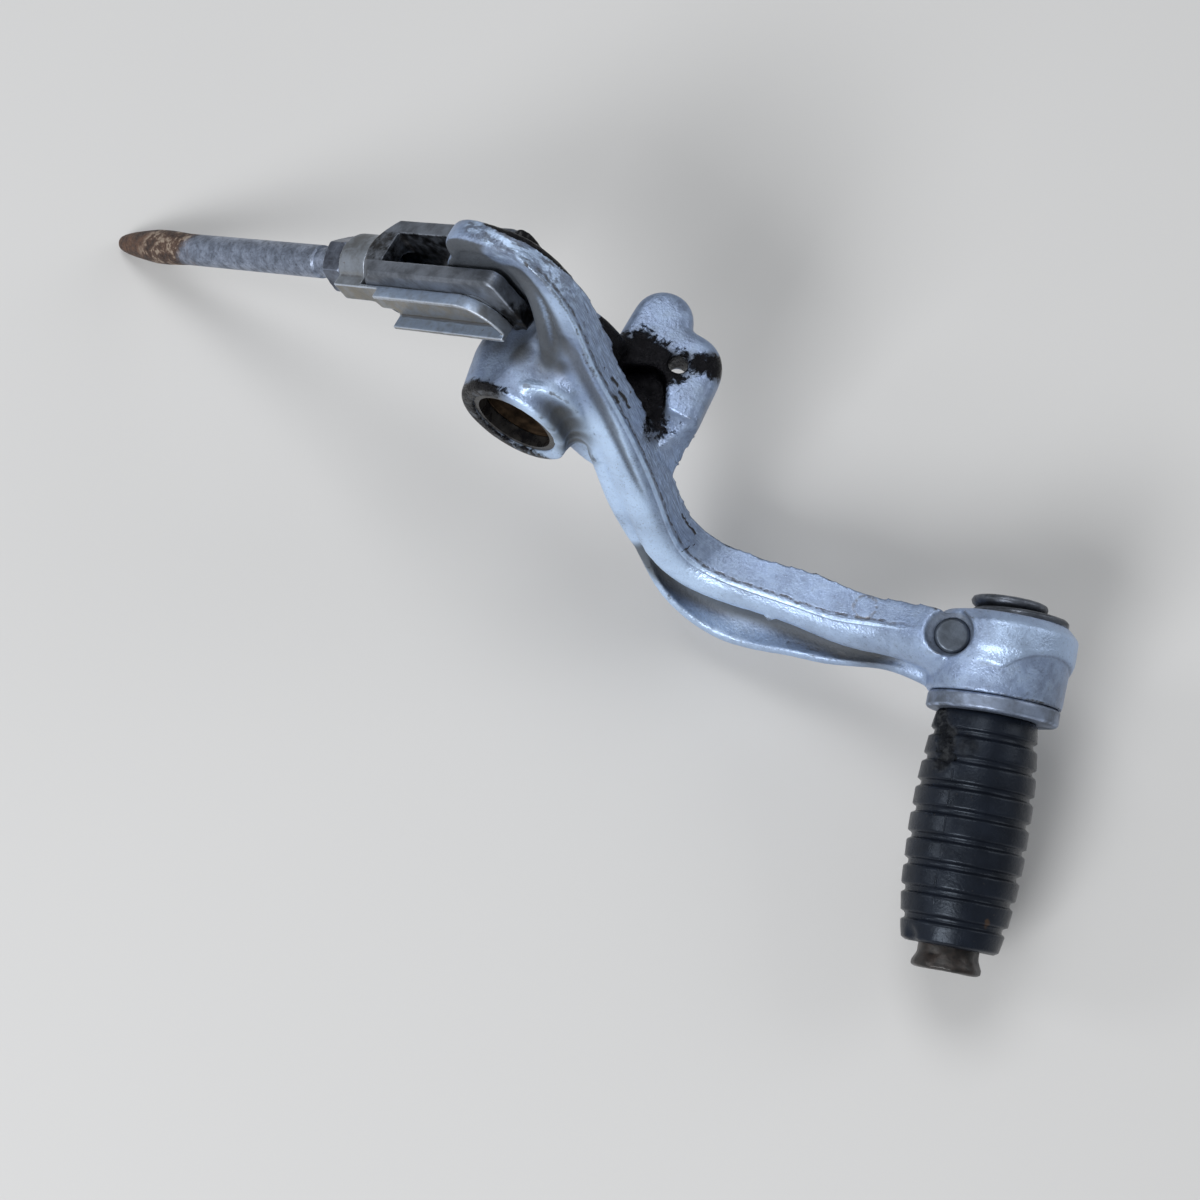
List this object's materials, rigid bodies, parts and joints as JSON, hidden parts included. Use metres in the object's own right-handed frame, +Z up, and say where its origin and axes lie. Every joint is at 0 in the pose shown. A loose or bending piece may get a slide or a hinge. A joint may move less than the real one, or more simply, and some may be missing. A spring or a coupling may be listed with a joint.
{
  "type": "rear brake pedal",
  "caption": "Cast alloy motorbike rear brake pedal with a bushed pivot boss, a ribbed rubber toe peg and a clevis with its push rod.",
  "frame": {"origin": "on the pivot axis, inside the pivot boss, 15 mm from the boss's outboard end", "axes": "+X forward to the toe peg, +Y inboard along the pivot axis, +Z up; the pedal is for the right-hand side of the machine"},
  "size_m": [0.2854, 0.1045, 0.1074],
  "materials": {
    "cast_silver": "worn silver paint on cast alloy",
    "bronze": "oily plain bearing",
    "seal_rubber": "shiny with grease",
    "fork_steel": "grey, dull, greasy at its open end",
    "zinc_steel": "zinc plated sheet, yellowed and scratched",
    "rod_steel": "blue grey, rust brown at its free end",
    "peg_steel": "dark, dull, rusted at its tip",
    "bare_alloy": "scuffed",
    "peg_rubber": "black, worn smooth on the ribs, dusty in the grooves"
  },
  "bodies": {
    "pedal": {"pedal_arm": "cast_silver", "pivot_bush_outer": "bronze", "pivot_bush_inner": "bronze", "pivot_seal_outer": "seal_rubber", "pivot_seal_inner": "seal_rubber", "peg_stem": "peg_steel", "peg_washer": "peg_steel", "peg_collar": "bare_alloy", "peg_rubber": "peg_rubber", "peg_lock_pin": "peg_steel"},
    "clevis": {"clevis_fork": "fork_steel", "clevis_pin": "zinc_steel", "clevis_clip": "zinc_steel", "lock_nut": "fork_steel", "push_rod": "rod_steel"}
  },
  "joints": [
    {"name": "clevis_hinge", "type": "hinge", "parent": "pedal", "child": "clevis", "pos_m": [-0.0148, 0.006, 0.023], "axis": [0, 1, 0], "range_deg": [-20, 120]}
  ]
}
